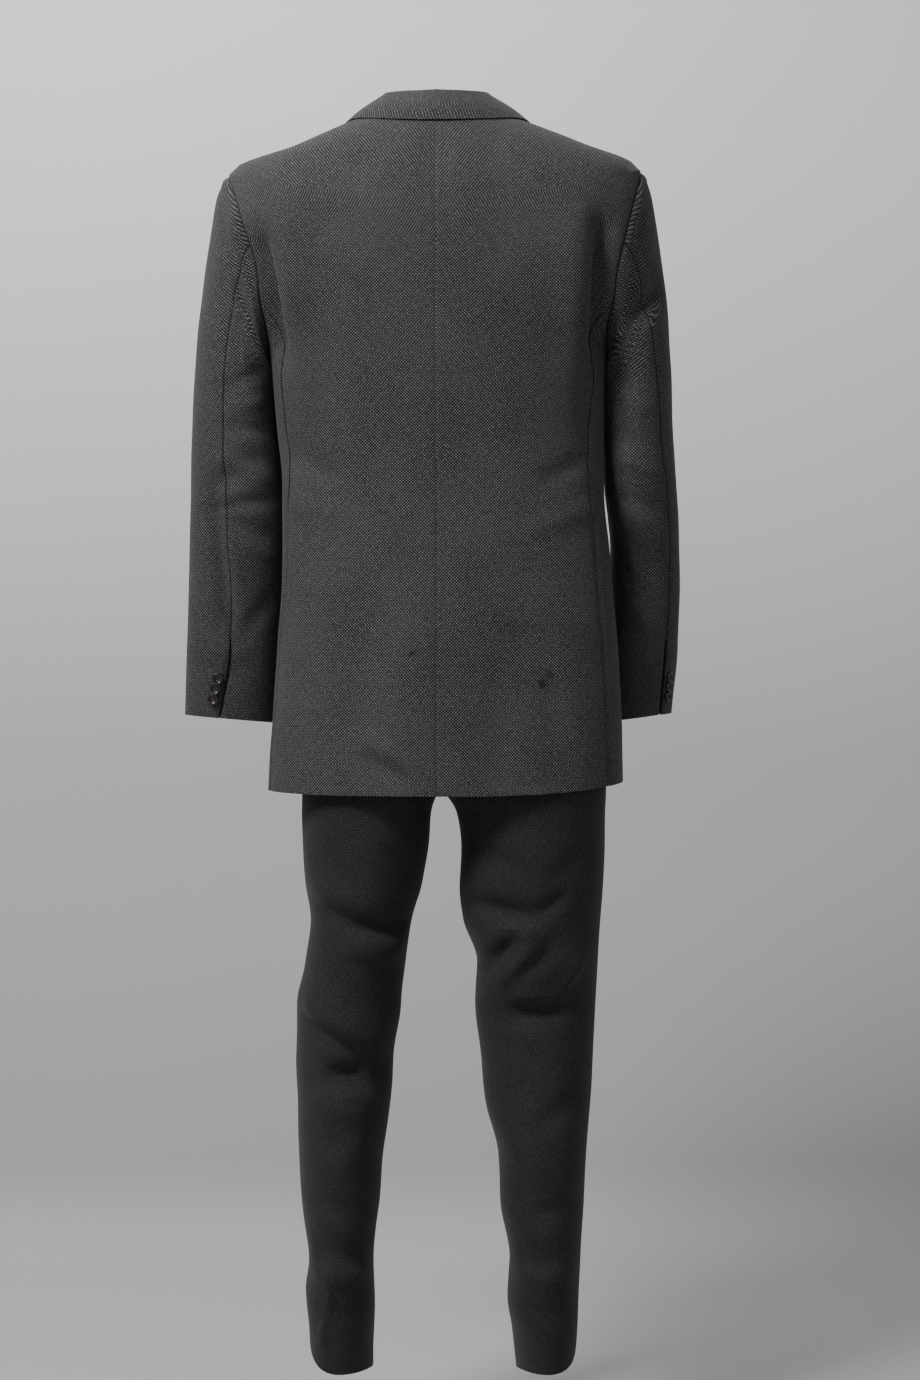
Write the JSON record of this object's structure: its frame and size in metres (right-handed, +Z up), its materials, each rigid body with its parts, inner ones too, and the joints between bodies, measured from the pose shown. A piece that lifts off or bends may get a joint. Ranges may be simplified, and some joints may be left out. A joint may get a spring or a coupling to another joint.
{
  "type": "two-piece suit",
  "caption": "Wool business suit in its worn form with nobody in it: jacket with notched lapels and double side vents, and plain trousers.",
  "frame": {"origin": "middle of the neck base, where the wearer's neck and shoulders hold the suit", "axes": "+Z up, +X to the wearer's left, -Y to the wearer's front"},
  "size_m": [0.6036, 0.2843, 1.5089],
  "materials": {
    "jacket_wool": "napped wool suiting, matt",
    "trouser_wool": "napped wool suiting, matt",
    "horn_button": "polished"
  },
  "bodies": {
    "root": {"breast_welt": "jacket_wool", "collar": "jacket_wool", "cuff_button_left_1": "horn_button", "cuff_button_left_2": "horn_button", "cuff_button_left_3": "horn_button", "cuff_button_right_1": "horn_button", "cuff_button_right_2": "horn_button", "cuff_button_right_3": "horn_button", "fly": "trouser_wool", "front_button_1": "horn_button", "front_button_2": "horn_button", "hip_flap_left": "jacket_wool", "hip_flap_right": "jacket_wool", "jacket_back_left": "jacket_wool", "jacket_back_right": "jacket_wool", "jacket_front_left": "jacket_wool", "jacket_front_right": "jacket_wool", "jacket_side_left": "jacket_wool", "jacket_side_right": "jacket_wool", "lapel_left": "jacket_wool", "lapel_right": "jacket_wool", "top_sleeve_left": "jacket_wool", "top_sleeve_right": "jacket_wool", "trouser_back_left": "trouser_wool", "trouser_back_right": "trouser_wool", "trouser_front_left": "trouser_wool", "trouser_front_right": "trouser_wool", "under_sleeve_left": "jacket_wool", "under_sleeve_right": "jacket_wool", "waist_button": "horn_button", "waistband": "trouser_wool"}
  },
  "joints": []
}
